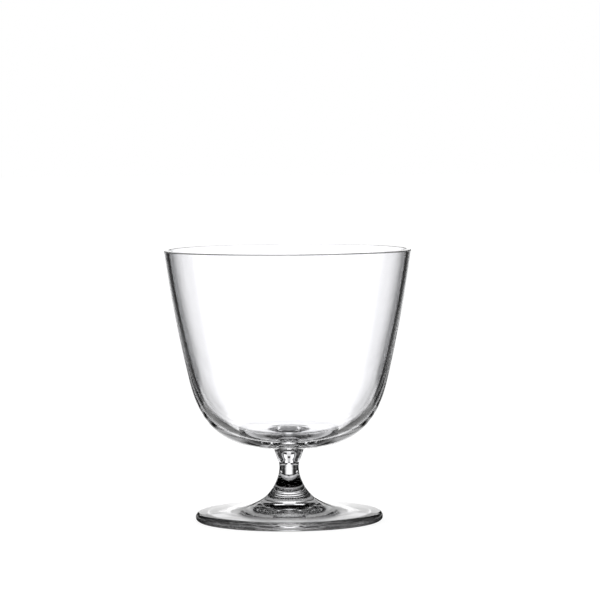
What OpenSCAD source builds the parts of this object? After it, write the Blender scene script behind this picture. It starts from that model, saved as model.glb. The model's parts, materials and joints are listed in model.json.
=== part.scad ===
// Short-stemmed cocktail glass, standing on its foot with the axis of turning along Z.
// A blown bowl, a drawn stem and a pressed foot are fused at two flat seals.

/* [Bowl] */
// Outer diameter of the lip
rim_d = 92; // [84:0.5:100]
// Height from the stem's seal to the top of the lip
bowl_h = 75; // [68:0.5:84]
// Wall thickness at the lip
wall_rim = 1.8; // [1.2:0.1:2.4]
// Thickness of the glass around the floor
wall_floor = 4; // [3:0.1:6]
// How late the wall thickens on its way down, as a power
wall_taper = 3; // [1.5:0.1:4]
// Radius of the softened edges of the cut lip
lip_round = 0.35; // [0.2:0.05:0.5]
// Height of the low hump in the middle of the floor
hump_h = 1.2; // [0:0.1:2]
// Radius of that hump
hump_r = 10; // [8:0.5:14]
// Lean of the side at the lip, in degrees from upright
lip_lean = 8; // [4:0.5:11]
// Lean of the side where the shoulder starts, in degrees from upright
shoulder_lean = 13; // [11:0.5:18]
// Height of the shoulder's start above the base of the bowl
shoulder_h = 27.6; // [24:0.2:34]
// How far the side runs on downwards into the shoulder
shoulder_pull = 10; // [6:0.5:16]
// How far the base runs outwards into the shoulder
base_pull = 24.5; // [16:0.5:28]

/* [Neck] */
// Diameter of the flat seal between stem and bowl
neck_d = 10.8; // [9:0.2:14]
// Radius of the fillet from the neck to the base of the bowl
neck_fillet = 1.5; // [1:0.1:3]
// Flare of the glass at the seal, in degrees from upright
neck_flare = 15; // [5:1:30]

/* [Stem] */
// Height from the foot's seal to the bowl's seal
stem_h = 18; // [14:0.5:40]
// Diameter of the waist
waist_d = 7.2; // [5:0.1:8.8]
// Height of the waist above the foot's seal
waist_h = 11.9; // [8:0.1:13]
// How far the flare below the bowl runs straight
flare_pull = 3.7; // [1:0.1:5]
// How far the waist runs up before it flares
waist_rise = 2.3; // [0.5:0.1:4]
// How far the waist runs down before it spreads
waist_drop = 5.2; // [2:0.1:7]
// How far the spread above the foot runs straight
spread_pull = 3.1; // [1:0.1:5]

/* [Foot] */
// Diameter of the foot
foot_d = 70; // [60:0.5:80]
// Height from the table to the seal on the foot's boss
foot_h = 8.2; // [6.5:0.1:11]
// Diameter of the flat seal between stem and foot
boss_d = 19.6; // [16:0.2:24]
// Slope of the glass at that seal, in degrees below level
boss_slope = 34; // [20:1:45]
// How far the boss runs straight down
boss_pull = 6; // [3:0.2:8]
// Slope of the foot's top at its edge, in degrees below level
edge_slope = 4; // [2:0.5:6]
// How far the top runs in straight from the edge
edge_pull = 13; // [8:0.5:16]
// Thickness of the round edge
edge_t = 3.3; // [2.2:0.1:4]
// Width of the flat ring that the foot rests on
rest_w = 3; // [1.5:0.5:6]
// Height of the hollow under the foot
kick_h = 2; // [0.5:0.1:3]

/* [Hidden] */
$fn = 96;
steps = 24;
arc_steps = 16;
glass = [0.9, 0.94, 0.95, 0.45];

// Heights of the two seals and of the lip above the table
neck_z = foot_h + stem_h;
rim_z = neck_z + bowl_h;
waist_z = foot_h + waist_h;

// A step of length l in the direction a degrees above level, outwards
function step(l, a) = l * [cos(a), sin(a)];

// Point of a cubic curve at t, its direction there, the points along it, and those along an arc
function at(c, t) =
    pow(1 - t, 3) * c[0] + 3 * pow(1 - t, 2) * t * c[1] + 3 * (1 - t) * t * t * c[2] + pow(t, 3) * c[3];
function along(c, t) =
    pow(1 - t, 2) * (c[1] - c[0]) + 2 * (1 - t) * t * (c[2] - c[1]) + t * t * (c[3] - c[2]);
function run(c) = [for (i = [0:steps]) at(c, i / steps)];
function arc(mid, r, from, to) = [for (i = [0:arc_steps]) mid + step(r, from + (to - from) * i / arc_steps)];
function reversed(points) = [for (i = [len(points) - 1:-1:0]) points[i]];

// Lip: cut square to the wall, with a small round along its outer and its inner edge
lip_flat = step(wall_rim - 2 * lip_round, -lip_lean);
lip_out = [rim_d / 2 - lip_round, rim_z - lip_round + lip_flat[1]];
lip_in = lip_out - lip_flat;

// Neck fillet: its centre stands off the seal's edge, square to the flare
fillet_mid = [neck_d / 2, neck_z] + step(neck_fillet, -neck_flare);
base_z = fillet_mid[1] + neck_fillet;
base_end = [fillet_mid[0], base_z];

// Outside of the bowl: a side bowed from the lip's lean to the shoulder's, then the turn under
side_top = lip_out + step(lip_round, -lip_lean);
side_drop = side_top[1] - base_z - shoulder_h;
top_third = side_drop / 3 * [tan(lip_lean), 1];
low_third = side_drop / 3 * [tan(shoulder_lean), 1];
shoulder = side_top - (top_third + low_third) * 3 / 2;
side_curve = [side_top, side_top - top_third, shoulder + low_third, shoulder];
turn_curve = [
    shoulder,
    shoulder - step(shoulder_pull, 90 - shoulder_lean),
    base_end + [base_pull, 0],
    base_end
];

// Hump over the stem: its height at radius r, which eases to nothing at hump_r
function hump(r) = hump_h * pow(1 - pow(min(1, r / hump_r), 2), 2);
function humped(p) = p + [0, hump(p[0])];

// Wall thickness at height z, and the inside point that lies square to the outside at t
function wall(z) =
    wall_rim + (wall_floor - wall_rim) * pow(min(1, (side_top[1] - z) / (side_top[1] - base_z)), wall_taper);
function inward(d) = [d[1], -d[0]] / norm(d);
function inside(c, t) = humped(at(c, t) + wall(at(c, t)[1]) * inward(along(c, t)));
function run_inside(c) = [for (i = [0:steps]) inside(c, i / steps)];
floor_run = [for (i = [0:arc_steps - 1]) humped([base_end[0] * i / arc_steps, base_z + wall_floor])];

// Outline of the stem, from the bowl's seal down to the foot's
flare_curve = [
    [neck_d / 2, neck_z],
    [neck_d / 2, neck_z] - step(flare_pull, 90 - neck_flare),
    [waist_d / 2, waist_z + waist_rise],
    [waist_d / 2, waist_z]
];
boss_edge = [boss_d / 2, foot_h];
spread_curve = [
    [waist_d / 2, waist_z],
    [waist_d / 2, waist_z - waist_drop],
    boss_edge - step(spread_pull, -boss_slope),
    boss_edge
];

// Top of the foot, from the seal's edge out to the round edge
edge_r = edge_t / 2;
edge_mid = [foot_d / 2 - edge_r, edge_r];
edge_top = edge_mid + step(edge_r, 90 - edge_slope);
foot_curve = [
    boss_edge,
    boss_edge + step(boss_pull, -boss_slope),
    edge_top - step(edge_pull, -edge_slope),
    edge_top
];

// Hollow under the foot: a shallow cap of a large sphere, inside the rest ring
hollow_r = edge_mid[0] - rest_w;
cap_r = (hollow_r * hollow_r + kick_h * kick_h) / (2 * kick_h);
cap_a = asin(hollow_r / cap_r);

// Blown cup with its cut lip, heavy humped floor and short drawn neck
module bowl() {
    color(glass)
    rotate_extrude()
    polygon(concat(
        run(side_curve),
        run(turn_curve),
        arc(fillet_mid, neck_fillet, 90, 180 - neck_flare),
        [[0, neck_z]],
        floor_run,
        reversed(run_inside(turn_curve)),
        reversed(run_inside(side_curve)),
        arc(lip_in, lip_round, 180 - lip_lean, 90 - lip_lean),
        arc(lip_out, lip_round, 90 - lip_lean, -lip_lean)
    ));
}

// Solid waisted stem between the two seals
module stem() {
    color(glass)
    rotate_extrude()
    polygon(concat(
        [[0, neck_z]],
        run(flare_curve),
        run(spread_curve),
        [[0, foot_h]]
    ));
}

// Pressed disc with a boss, a round edge, a rest ring and a shallow hollow underneath
module foot() {
    color(glass)
    rotate_extrude()
    polygon(concat(
        [[0, foot_h]],
        run(foot_curve),
        arc(edge_mid, edge_r, 90 - edge_slope, -90),
        arc([0, kick_h - cap_r], cap_r, 90 - cap_a, 90)
    ));
}

bowl();
stem();
foot();
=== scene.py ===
# %% [markdown]
# # A short-stemmed cocktail glass
# The glass is three gathers of clear glass: a blown bowl, a drawn stem and a pressed foot, fused
# while hot. Each is a body of turning, so each is made here in one way: a profile, given by a few
# curves, is carried round the axis as a grid of points. The look of clear glass comes almost
# wholly from what stands round it, so the second half of the lesson is about the room.

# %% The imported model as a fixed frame
import json
import math

import bpy
import numpy as np
from mathutils import Euler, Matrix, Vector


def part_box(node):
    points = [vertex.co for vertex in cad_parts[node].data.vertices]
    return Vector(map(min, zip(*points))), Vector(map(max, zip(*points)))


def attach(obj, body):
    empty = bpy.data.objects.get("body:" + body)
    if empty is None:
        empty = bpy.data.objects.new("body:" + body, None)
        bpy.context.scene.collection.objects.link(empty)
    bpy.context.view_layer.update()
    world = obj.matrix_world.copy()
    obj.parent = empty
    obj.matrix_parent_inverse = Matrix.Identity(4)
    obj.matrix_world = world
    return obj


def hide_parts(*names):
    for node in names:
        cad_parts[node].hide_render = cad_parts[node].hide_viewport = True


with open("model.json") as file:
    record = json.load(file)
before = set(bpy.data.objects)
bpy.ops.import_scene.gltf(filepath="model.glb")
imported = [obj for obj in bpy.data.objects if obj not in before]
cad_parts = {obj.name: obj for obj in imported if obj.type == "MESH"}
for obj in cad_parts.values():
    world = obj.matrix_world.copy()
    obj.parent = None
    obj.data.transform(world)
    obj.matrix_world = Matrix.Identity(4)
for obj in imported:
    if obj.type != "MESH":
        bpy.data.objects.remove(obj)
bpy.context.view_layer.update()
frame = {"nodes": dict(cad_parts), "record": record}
scene = bpy.context.scene
scene.view_settings.view_transform = "Standard"
slots = [material["slot"] for material in frame["record"]["materials"]]
print("nodes:", sorted(frame["nodes"]), "slots:", slots)

# %% [markdown]
# ## Sizes
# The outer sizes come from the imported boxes, so the visible glass can't drift from the model that
# it dresses. The curves between them are set by the same few sizes that the model uses: leans in
# degrees, and pulls, which say how far a curve runs straight before it bends.

# %% Sizes of the glass, in metres and degrees
MM = 0.001
_, bowl_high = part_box("bowl")
_, stem_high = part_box("stem")
_, foot_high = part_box("foot")
rim_r = bowl_high.x
rim_z = bowl_high.z
neck_z = stem_high.z
boss_z = foot_high.z
boss_r = stem_high.x
foot_r = foot_high.x

wall_rim = 1.8 * MM
wall_floor = 4 * MM
wall_taper = 3
hump_h = 1.2 * MM
hump_r = 10 * MM
lip_round = 0.35 * MM
lip_lean = 8
shoulder_lean = 13
shoulder_h = 27.6 * MM
shoulder_pull = 10 * MM
base_pull = 24.5 * MM

neck_r = 5.4 * MM
neck_fillet = 1.5 * MM
neck_flare = 15

waist_r = 3.6 * MM
waist_h = 11.9 * MM
flare_pull = 3.7 * MM
waist_rise = 2.3 * MM
waist_drop = 5.2 * MM
spread_pull = 3.1 * MM

boss_slope = 34
boss_pull = 6 * MM
edge_slope = 4
edge_pull = 13 * MM
edge_r = 1.65 * MM
rest_w = 3 * MM
kick_h = 2 * MM
print(f"lip {2 * rim_r / MM:.1f} mm wide at {rim_z / MM:.1f} mm up")
print(f"foot {2 * foot_r / MM:.1f} mm wide")

# %% [markdown]
# ## Profiles
# A profile is a line of (radius, height) points. Long bends are cubic curves with two handles, as
# a draughtsman would pull them, and the lip, the neck's fillet, the foot's edge and the hollow
# under it are true arcs. Glass bends light by its slope, so the points lie close together.

# %% Curves that the profiles are made of
CURVE_POINTS = 72
ARC_POINTS = 24


def step(length, angle):
    """A step of that length, angle degrees above level, outwards: cosine across and sine up."""
    return length * np.array([math.cos(math.radians(angle)), math.sin(math.radians(angle))])


def cubic(controls):
    """Points and directions of the cubic curve with four controls.

    A point is the binomial mix of the controls at t from 0 to 1. A direction is the binomial mix
    of the steps between the controls, divided by its own length.
    """
    t = np.linspace(0, 1, CURVE_POINTS)[:, None]
    s = 1 - t
    a, b, c, d = (np.asarray(p, float) for p in controls)
    points = s**3 * a + 3 * s**2 * t * b + 3 * s * t**2 * c + t**3 * d
    along = s**2 * (b - a) + 2 * s * t * (c - b) + t**2 * (d - c)
    return points, along / np.linalg.norm(along, axis=1, keepdims=True)


def arc(middle, radius, start, end):
    """Points of an arc: the middle plus the radius, turned evenly from start to end degrees."""
    a = np.radians(np.linspace(start, end, ARC_POINTS))[:, None]
    return np.asarray(middle) + radius * np.hstack([np.cos(a), np.sin(a)])


def line_up(*runs):
    """One profile from runs that meet end to end: each later run loses its first point."""
    return np.vstack([runs[0], *(run[1:] for run in runs[1:])])


print(f"a curve has {CURVE_POINTS} points and an arc {ARC_POINTS}")

# %% [markdown]
# ## Turning a profile
# The surface is a function of two parameters: u along the profile and v round the axis. The point
# is (r(u) cos v, r(u) sin v, z(u)). The two ends of the profile lie on the axis, so each end is a
# single pole point with a fan of triangles, and the last column joins the first: no seam is open.

# %% Turned surface as a mesh
TURN_STEPS = 256
CREASE = math.radians(35)


def turned(name, profile):
    """A closed mesh of the profile carried round the axis.

    Each inner point (r, z) gives a ring (r cos v, r sin v, z) of TURN_STEPS evenly turned points.
    Quads join neighbouring rings, and fans of triangles join the end rings to the two poles.
    """
    ring_count = len(profile) - 2
    r, z = profile[1:-1, 0], profile[1:-1, 1]
    v = np.arange(TURN_STEPS) * (2 * math.pi / TURN_STEPS)
    grid = np.empty((ring_count, TURN_STEPS, 3))
    grid[..., 0] = r[:, None] * np.cos(v)
    grid[..., 1] = r[:, None] * np.sin(v)
    grid[..., 2] = z[:, None]
    poles = np.array([[0, 0, profile[0, 1]], [0, 0, profile[-1, 1]]])
    points = np.vstack([grid.reshape(-1, 3), poles])

    number = np.arange(ring_count * TURN_STEPS).reshape(ring_count, TURN_STEPS)
    beside = np.roll(number, -1, axis=1)
    quads = np.stack([number[:-1], number[1:], beside[1:], beside[:-1]], axis=-1).reshape(-1, 4)
    first, last = len(points) - 2, len(points) - 1
    fan_a = np.stack([np.full(TURN_STEPS, first), number[0], beside[0]], axis=-1)
    fan_b = np.stack([np.full(TURN_STEPS, last), beside[-1], number[-1]], axis=-1)

    mesh = bpy.data.meshes.new(name)
    mesh.from_pydata(points.tolist(), [], quads.tolist() + fan_a.tolist() + fan_b.tolist())
    mesh.polygons.foreach_set("use_smooth", np.ones(len(mesh.polygons), bool))
    mesh.set_sharp_from_angle(angle=CREASE)
    mesh.validate()
    piece = bpy.data.objects.new(name, mesh)
    scene.collection.objects.link(piece)
    print(f"{name}: {len(points)} points, {len(mesh.polygons)} faces")
    return piece


print(f"each ring has {TURN_STEPS} points")

# %% [markdown]
# ## The bowl's outside
# The blown cup leans out from a tight shoulder to its lip, which is cut flat and has both edges
# softly rounded. A blower shapes such a cup in a turned mould, so two curves are enough: a side
# that is bowed a little, and the turn under to the short neck that the stem is sealed to.

# %% Points that fix the outside of the bowl
lip_flat = step(wall_rim - 2 * lip_round, -lip_lean)
lip_out = np.array([rim_r - lip_round, rim_z - lip_round + lip_flat[1]])
lip_in = lip_out - lip_flat
fillet_mid = np.array([neck_r, neck_z]) + step(neck_fillet, -neck_flare)
base_z = fillet_mid[1] + neck_fillet
base_end = np.array([fillet_mid[0], base_z])
side_top = lip_out + step(lip_round, -lip_lean)
side_drop = side_top[1] - base_z - shoulder_h
top_third = side_drop / 3 * np.array([math.tan(math.radians(lip_lean)), 1])
low_third = side_drop / 3 * np.array([math.tan(math.radians(shoulder_lean)), 1])
shoulder = side_top - (top_third + low_third) * 3 / 2

side, side_along = cubic([side_top, side_top - top_third, shoulder + low_third, shoulder])
turn, turn_along = cubic([
    shoulder,
    shoulder - step(shoulder_pull, 90 - shoulder_lean),
    base_end + [base_pull, 0],
    base_end,
])
print(f"shoulder at {shoulder[1] / MM:.1f} mm, base of the bowl at {base_z / MM:.1f} mm")

# %% [markdown]
# ## The bowl's wall
# The wall thickens slowly on the way down and ends in a heavy floor, with a low hump over the stem
# where the gather was pushed up. The inside isn't drawn by itself: each inside point lies square to
# the outside, at the wall's thickness there, so the wall can't pinch.

# %% Bowl
def humped(points):
    """Points raised by the hump: its height times the square of one minus the squared share.

    The share is the point's radius over the hump's, and never more than one.
    """
    share = np.clip(points[:, 0] / hump_r, 0, 1)
    return points + np.stack([0 * share, hump_h * (1 - share**2) ** 2], axis=1)


def wall_inside(points, along):
    """Inside points: outside points moved square to the curve by the wall's thickness.

    The wall grows from the lip's to the floor's thickness as a power of the depth, 0 to 1.
    """
    depth = np.clip((side_top[1] - points[:, 1]) / (side_top[1] - base_z), 0, 1)
    wall = wall_rim + (wall_floor - wall_rim) * depth**wall_taper
    square = np.stack([along[:, 1], -along[:, 0]], axis=1)
    return humped(points + wall[:, None] * square)


floor_r = np.linspace(0, base_end[0], ARC_POINTS)
# The outer round starts from the end of the inner one, which leaves the flat cut between them
inner_round = arc(lip_in, lip_round, 180 - lip_lean, 90 - lip_lean)
outer_round = arc(lip_out, lip_round, 90 - lip_lean, -lip_lean)
# From the axis up the inside, over the lip, down the outside and back to the axis
bowl_profile = line_up(
    humped(np.stack([floor_r, np.full(ARC_POINTS, base_z + wall_floor)], axis=1)),
    wall_inside(turn, turn_along)[::-1],
    wall_inside(side, side_along)[::-1],
    inner_round,
    np.vstack([inner_round[-1], outer_round]),
    side,
    turn,
    arc(fillet_mid, neck_fillet, 90, 180 - neck_flare),
    np.array([[neck_r, neck_z], [0, neck_z]]),
)
bowl = turned("glass_bowl", bowl_profile)
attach(bowl, "root")
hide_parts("bowl")

# %% [markdown]
# ## The stem
# The stem was drawn out of the hot gather, so it has no corner anywhere: it narrows from the neck
# to a waist in its upper half and then spreads in one long sweep onto the foot.

# %% Stem
neck_edge = np.array([neck_r, neck_z])
waist = np.array([waist_r, boss_z + waist_h])
boss_edge = np.array([boss_r, boss_z])
flare, _ = cubic([
    neck_edge,
    neck_edge - step(flare_pull, 90 - neck_flare),
    waist + [0, waist_rise],
    waist,
])
spread, _ = cubic([
    waist,
    waist - [0, waist_drop],
    boss_edge - step(spread_pull, -boss_slope),
    boss_edge,
])
stem_profile = line_up(
    np.array([[0, neck_z], [neck_r, neck_z]]),
    flare,
    spread,
    np.array([[boss_r, boss_z], [0, boss_z]]),
)
stem = turned("glass_stem", stem_profile)
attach(stem, "root")
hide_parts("stem")

# %% [markdown]
# ## The foot
# The pressed foot carries the stem's sweep on outwards, thins to a round edge and stands on a
# narrow ring, with a shallow hollow inside the ring so that it can't rock on a wet table. The
# hollow is a shallow cap of a large sphere, as a dished press plate would leave it.

# %% Foot
edge_mid = np.array([foot_r - edge_r, edge_r])
edge_top = edge_mid + step(edge_r, 90 - edge_slope)
hollow_r = edge_mid[0] - rest_w
cap_r = (hollow_r**2 + kick_h**2) / (2 * kick_h)
cap_angle = math.degrees(math.asin(hollow_r / cap_r))
foot_top, _ = cubic([
    boss_edge,
    boss_edge + step(boss_pull, -boss_slope),
    edge_top - step(edge_pull, -edge_slope),
    edge_top,
])
foot_profile = line_up(
    np.array([[0, boss_z], [boss_r, boss_z]]),
    foot_top,
    arc(edge_mid, edge_r, 90 - edge_slope, -90),
    np.array([[edge_mid[0], 0], [hollow_r, 0]]),
    arc([0, kick_h - cap_r], cap_r, 90 - cap_angle, 90),
)
# The arc of the hollow ends a rounding error off the axis, and the pole lies on it
foot_profile[-1, 0] = 0
foot = turned("glass_foot", foot_profile)
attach(foot, "root")
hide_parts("foot")

# %% [markdown]
# ## Clear glass
# Polished glass has no colour of its own to speak of. What tells it from plastic is its bending
# power, a trace of grey in thick places and a surface that isn't quite true: blown walls keep a
# faint waviness, and a used glass is a hair less than mirror-smooth in patches. Both come from
# noise on Object coordinates, far below what the eye would call a pattern.

# %% Glass material
GLASS_IOR = 1.51
GLASS_TINT = (0.972, 0.972, 0.985, 1)
WAVE_SIZE = 14 * MM
WAVE_DEPTH = 0.002 * MM
WAVE_DETAIL = 1
BLOOM_SIZE = 9 * MM
BLOOM_DETAIL = 4
BLOOM_ROUGHNESS = 0.012
# Noise below the first value leaves the glass fully smooth, and above the second fully bloomed
BLOOM_NONE, BLOOM_FULL = 0.5, 0.8


def noise(tree, size, detail):
    """A noise texture on Object coordinates, with features of that size, and its output."""
    place = tree.nodes.new("ShaderNodeTexCoord")
    node = tree.nodes.new("ShaderNodeTexNoise")
    node.inputs["Scale"].default_value = 1 / size
    node.inputs["Detail"].default_value = detail
    tree.links.new(place.outputs["Object"], node.inputs["Vector"])
    return node.outputs["Fac"]


def clear_glass():
    """Principled glass: fixed bending power and tint, with noise for waviness and for polish."""
    material = bpy.data.materials.new("clear_glass")
    material.use_nodes = True
    tree = material.node_tree
    nodes, links = tree.nodes, tree.links
    glass = nodes["Principled BSDF"]
    glass.inputs["Base Color"].default_value = GLASS_TINT
    glass.inputs["Transmission Weight"].default_value = 1
    glass.inputs["IOR"].default_value = GLASS_IOR

    polish = nodes.new("ShaderNodeMapRange")
    polish.inputs["From Min"].default_value = BLOOM_NONE
    polish.inputs["From Max"].default_value = BLOOM_FULL
    polish.inputs["To Max"].default_value = BLOOM_ROUGHNESS
    links.new(noise(tree, BLOOM_SIZE, BLOOM_DETAIL), polish.inputs["Value"])
    links.new(polish.outputs["Result"], glass.inputs["Roughness"])

    ripple = nodes.new("ShaderNodeBump")
    ripple.inputs["Distance"].default_value = WAVE_DEPTH
    links.new(noise(tree, WAVE_SIZE, WAVE_DETAIL), ripple.inputs["Height"])
    links.new(ripple.outputs["Normal"], glass.inputs["Normal"])
    return material


glass_material = clear_glass()
print(f"glass bends light by {GLASS_IOR}, waves are {WAVE_DEPTH / MM * 1000:.0f} micrometres deep")

# %% [markdown]
# ## Fused seals
# The gathers were pressed together hot, so no surface is left between them. Here the pieces stay
# separate and touch at flat discs. A disc that bent or mirrored light would show as a cut across
# the stem, so its faces get a material of their own that lets light pass straight on.

# %% Seals
SEAL_TOLERANCE = 0.001 * MM


def seal_faces(piece, height, radius):
    """Which faces lie flat at that height and within that radius, by their middles."""
    mesh = piece.data
    middle = np.empty(len(mesh.polygons) * 3)
    mesh.polygons.foreach_get("center", middle)
    middle = middle.reshape(-1, 3)
    flat = np.abs(middle[:, 2] - height) < SEAL_TOLERANCE
    return flat & (np.hypot(middle[:, 0], middle[:, 1]) < radius)


def fused_seam():
    """Glass melted into glass: a Transparent shader, so light passes straight on."""
    material = bpy.data.materials.new("fused_seam")
    material.use_nodes = True
    nodes = material.node_tree.nodes
    nodes.remove(nodes["Principled BSDF"])
    clear = nodes.new("ShaderNodeBsdfTransparent")
    surface = nodes["Material Output"].inputs["Surface"]
    material.node_tree.links.new(clear.outputs["BSDF"], surface)
    return material


seam_material = fused_seam()
for piece, seals in (
    (bowl, [(neck_z, neck_r)]),
    (stem, [(neck_z, neck_r), (boss_z, boss_r)]),
    (foot, [(boss_z, boss_r)]),
):
    piece.data.materials.append(glass_material)
    piece.data.materials.append(seam_material)
    fused = np.zeros(len(piece.data.polygons), int)
    for height, radius in seals:
        fused |= seal_faces(piece, height, radius)
    piece.data.polygons.foreach_set("material_index", fused)
    print(f"{piece.name}: {fused.sum()} faces lie in fused seals")

# %% [markdown]
# ## Light inside thick glass
# In the heavy floor, in the neck and along the foot's edge, light is thrown from wall to wall many
# times before it gets out. Paths that are cut short there leave black patches, so they are given
# room for more turns than usual.

# %% Room for long paths
TURNS = 32
scene.cycles.max_bounces = TURNS
scene.cycles.glossy_bounces = TURNS
scene.cycles.transmission_bounces = TURNS
print(f"a path may turn {TURNS} times")

# %% [markdown]
# ## The room
# Clear glass is photographed against a bright field: white straight behind it and dark room all
# round. Where the wall bends light sideways it then shows the dark, which draws the outline. So
# the world is white to the camera, and glass sees white panels in a dark room.
#
# The bowl looks straight through to the field behind it, an upper and a lower panel that overlap.
# The foot and the stem are thick, and look upwards and sideways instead: narrow strips above the
# field light the top of the foot and the stem, a higher pair lights the window in the stem, and a
# wide low pair gives the base of the bowl its grey band. A faint skirt keeps the dark lines of the
# wall from going quite black. The next seven stand round the rest of the room, an eighth of a turn
# apart, and serve as the field when the glass is seen from other sides. The last one lies below,
# all round, for a look into the bowl from above.

# %% Panels in the room
CAMERA_WHITE = 1.0
DARK_ROOM = 0.002


def mirrored(heading, *edges):
    """The same panel twice, at that heading to the one side and to the other."""
    return [(heading, *edges), (-heading, *edges)]


# Each panel, in degrees: its heading, half its width where it is full and where it has faded out,
# the same for its low edge (faded, full) and its high edge (full, faded), and its brightness
PANELS = [
    (0, 3.5, 20, -20, -12, 1, 4, 1.35),
    (0, 5, 21, -30, -23, -9, -5, 1.33),
    (0, 5, 7, -2, 2, 8.5, 10.5, 1.25),
    (0, 5, 7, 6, 8, 14, 15.5, 0.8),
    (0, 5, 7, 17.3, 18.2, 20.8, 22, 0.7),
    *mirrored(10.5, 4, 7.5, 12.5, 13.5, 20.5, 22.5, 1.25),
    *mirrored(36, 15, 24, -2, 1, 6.5, 9, 0.5),
    (0, 40, 56, -36, -28, -6, -2, 0.028),
    *mirrored(45, 3.5, 13, -66, -58, -21.5, -18, 1.27),
    *mirrored(90, 3.5, 16, -66, -58, 1, 4, 1.27),
    *mirrored(135, 3.5, 16, -66, -58, 1, 4, 1.27),
    (180, 3.5, 16, -66, -58, 1, 4, 1.27),
    (0, 180, 190, -100, -95, -44, -38, 1.27),
]
print(f"{len(PANELS)} panels")

# %% [markdown]
# ## Small tools for shader trees
# The room and the floor are both worked out node by node, from the direction of a ray or the place
# that it strikes. Four short functions keep that readable: a step of arithmetic, a soft edge, a mix
# of two shaders, and the question whether a ray comes from glass.

# %% Node tools
def math_node(tree, operation, a, b=None, c=None):
    """A Math node with its inputs linked or set, and its output."""
    node = tree.nodes.new("ShaderNodeMath")
    node.operation = operation
    for socket, value in zip(node.inputs, (a, b, c)):
        if value is None:
            continue
        if isinstance(value, bpy.types.NodeSocket):
            tree.links.new(value, socket)
        else:
            socket.default_value = value
    return node.outputs[0]


def fade(tree, value, none, full):
    """0 at one angle to 1 at another, in degrees, along a smooth step."""
    node = tree.nodes.new("ShaderNodeMapRange")
    node.interpolation_type = "SMOOTHSTEP"
    tree.links.new(value, node.inputs["Value"])
    node.inputs["From Min"].default_value = math.radians(none)
    node.inputs["From Max"].default_value = math.radians(full)
    return node.outputs["Result"]


def mix_shaders(tree, share, first, second):
    """A Mix Shader, which is the first shader at share 0 and the second at 1, and its output."""
    node = tree.nodes.new("ShaderNodeMixShader")
    tree.links.new(share, node.inputs["Fac"])
    tree.links.new(first, node.inputs[1])
    tree.links.new(second, node.inputs[2])
    return node.outputs["Shader"]


def ray_from_glass(tree):
    """1 for a ray that was mirrored or let through, else 0: the larger of the two marks."""
    path = tree.nodes.new("ShaderNodeLightPath")
    marks = path.outputs["Is Glossy Ray"], path.outputs["Is Transmission Ray"]
    return math_node(tree, "MAXIMUM", *marks)


# %% [markdown]
# ## The world
# A ray that leaves the glass has a direction and nothing else, so the room is a function of its
# heading and its rise: the brightest panel there wins, and soft edges keep the lines in the glass
# from looking cut. A ray from the camera skips all this and finds plain white.

# %% World: white to the camera, panels to glass
def panel_light(tree):
    """Brightness by direction: the largest of the dark room and all panels.

    A panel is its brightness times three smooth steps: off its heading, up from its low edge and
    down from its high edge. The heading is the arc tangent of x over y, the rise the arc sine of z.
    """
    look = tree.nodes.new("ShaderNodeTexCoord")
    split = tree.nodes.new("ShaderNodeSeparateXYZ")
    tree.links.new(look.outputs["Generated"], split.inputs["Vector"])
    heading = math_node(tree, "ARCTAN2", split.outputs["X"], split.outputs["Y"])
    rise = math_node(tree, "ARCSINE", split.outputs["Z"])
    light = DARK_ROOM
    for facing, half, half_gone, low_gone, low, high, high_gone, bright in PANELS:
        off = math_node(tree, "SUBTRACT", heading, math.radians(facing))
        off = math_node(tree, "ABSOLUTE", math_node(tree, "WRAP", off, math.pi, -math.pi))
        mask = fade(tree, off, half_gone, half)
        mask = math_node(tree, "MULTIPLY", mask, fade(tree, rise, low_gone, low))
        mask = math_node(tree, "MULTIPLY", mask, fade(tree, rise, high_gone, high))
        light = math_node(tree, "MAXIMUM", light, math_node(tree, "MULTIPLY", mask, bright))
    return light


world = bpy.data.worlds.new("studio")
scene.world = world
world.use_nodes = True
room = world.node_tree
level = room.nodes.new("ShaderNodeMix")
room.links.new(ray_from_glass(room), level.inputs["Factor"])
level.inputs["A"].default_value = CAMERA_WHITE
room.links.new(panel_light(room), level.inputs["B"])
background = room.nodes["Background"]
background.inputs["Color"].default_value = (1, 1, 1, 1)
room.links.new(level.outputs["Result"], background.inputs["Strength"])
print(f"world: {len(room.nodes)} nodes")

# %% [markdown]
# ## The floor
# The floor is white paper that keeps a faint soft shadow: most of its white is its own, and the
# rest is lit. Glass doesn't see the paper farther out but the panels, whose lower parts lie where
# the paper runs on behind the glass. Under the foot it sees a glowing disc instead: painted shade
# in the middle under the stem and where the ring rests, and painted light in the hollow between.

# %% Floor
FLOOR_HALF = 6
FLOOR_LIT = 0.2
FLOOR_OWN = 0.84
SHADE_EDGE = 37 * MM
# Under the foot: radius in millimetres and the grey of the painted shade and light there
PAINTED_LIGHT_AND_SHADE = [
    (12, 0), (15.5, 0.3), (22, 0.42), (25, 0.75),
    (29.6, 0.75), (30.3, 0.015), (33.5, 0.01), (36, 0.03),
]


def paper_for_camera(tree):
    """White paper: light of its own plus a lit share that takes the shadow."""
    own = tree.nodes.new("ShaderNodeEmission")
    own.inputs["Strength"].default_value = FLOOR_OWN
    lit = tree.nodes.new("ShaderNodeBsdfDiffuse")
    lit.inputs["Color"].default_value = (FLOOR_LIT, FLOOR_LIT, FLOOR_LIT, 1)
    paper = tree.nodes.new("ShaderNodeAddShader")
    tree.links.new(own.outputs["Emission"], paper.inputs[0])
    tree.links.new(lit.outputs["BSDF"], paper.inputs[1])
    return paper.outputs["Shader"]


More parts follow.
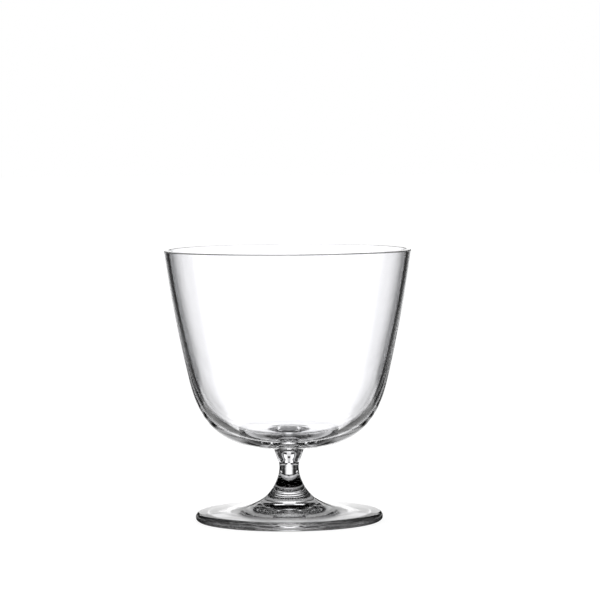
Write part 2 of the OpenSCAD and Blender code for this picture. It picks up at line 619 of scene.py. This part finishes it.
def paper_for_glass(tree):
    """A disc under the foot glowing in painted shade and light by the stops; clear beyond it."""
    nodes, links = tree.nodes, tree.links
    place = nodes.new("ShaderNodeTexCoord")
    away = nodes.new("ShaderNodeVectorMath")
    away.operation = "LENGTH"
    links.new(place.outputs["Object"], away.inputs[0])
    reach = away.outputs["Value"]
    ramp = nodes.new("ShaderNodeValToRGB")
    links.new(math_node(tree, "DIVIDE", reach, SHADE_EDGE), ramp.inputs["Fac"])
    while len(ramp.color_ramp.elements) < len(PAINTED_LIGHT_AND_SHADE):
        ramp.color_ramp.elements.new(1)
    for element, (radius, grey) in zip(ramp.color_ramp.elements, PAINTED_LIGHT_AND_SHADE):
        element.position = radius * MM / SHADE_EDGE
        element.color = (grey, grey, grey, 1)
    # The disc glows: painted shade under the stem and the resting ring, painted light between them
    shade = nodes.new("ShaderNodeEmission")
    links.new(ramp.outputs["Color"], shade.inputs["Color"])
    clear = nodes.new("ShaderNodeBsdfTransparent")
    beyond = math_node(tree, "GREATER_THAN", reach, SHADE_EDGE)
    return mix_shaders(tree, beyond, shade.outputs["Emission"], clear.outputs["BSDF"])


def paper_floor():
    """Paper with two looks: one for the camera and the lamp, and one for rays from glass."""
    material = bpy.data.materials.new("white_paper")
    material.use_nodes = True
    tree = material.node_tree
    tree.nodes.remove(tree.nodes["Principled BSDF"])
    both = mix_shaders(tree, ray_from_glass(tree), paper_for_camera(tree), paper_for_glass(tree))
    tree.links.new(both, tree.nodes["Material Output"].inputs["Surface"])
    return material


corner = np.array([[-1, -1, 0], [1, -1, 0], [1, 1, 0], [-1, 1, 0]]) * FLOOR_HALF
floor_mesh = bpy.data.meshes.new("floor")
floor_mesh.from_pydata(corner.tolist(), [], [[0, 1, 2, 3]])
floor_mesh.materials.append(paper_floor())
floor = bpy.data.objects.new("floor", floor_mesh)
scene.collection.objects.link(floor)
print(f"floor {2 * FLOOR_HALF} m wide, shaded within {SHADE_EDGE / MM:.0f} mm of the axis")

# %% [markdown]
# ## The lamp
# One large soft lamp hangs overhead, as a light tent has it. Its size blurs the shadow's edge. It
# is kept out of the glass, which already has the panels to mirror.

# %% Lamp
LAMP_HEIGHT = 1.2
LAMP_SIDE = 1.0
LAMP_POWER = 4
lamp_data = bpy.data.lights.new("softbox", "AREA")
lamp_data.size = LAMP_SIDE
lamp_data.energy = LAMP_POWER
lamp = bpy.data.objects.new("softbox", lamp_data)
lamp.location = (0, 0, LAMP_HEIGHT)
lamp.visible_glossy = False
lamp.visible_transmission = False
scene.collection.objects.link(lamp)
print(f"lamp of {LAMP_POWER} W, {LAMP_SIDE} m wide, {LAMP_HEIGHT} m up")

# %% [markdown]
# ## Camera
# The outline fixes the camera: the opening of the lip's ellipse against the foot's gives its height
# and distance, and the picture's scale at the axis gives its focal length.

# %% Camera
CAMERA_AWAY = 1.2095
CAMERA_UP = 0.1542
FOCAL_PIXELS = 3256
FRAME_PIXELS = 600
SENSOR_WIDTH = 36
PITCH = 3.404
YAW = -0.214
ROLL = 0.4
camera_data = bpy.data.cameras.new("camera")
camera_data.sensor_width = SENSOR_WIDTH
camera_data.lens = FOCAL_PIXELS / FRAME_PIXELS * SENSOR_WIDTH
camera = bpy.data.objects.new("camera", camera_data)
camera.location = (0, -CAMERA_AWAY, CAMERA_UP)
camera.rotation_euler = Euler((math.radians(90 - PITCH), 0, math.radians(YAW)), "XYZ")
camera.rotation_euler.rotate_axis("Z", math.radians(-ROLL))
scene.collection.objects.link(camera)
scene.camera = camera
print(f"lens {camera_data.lens:.1f} mm")
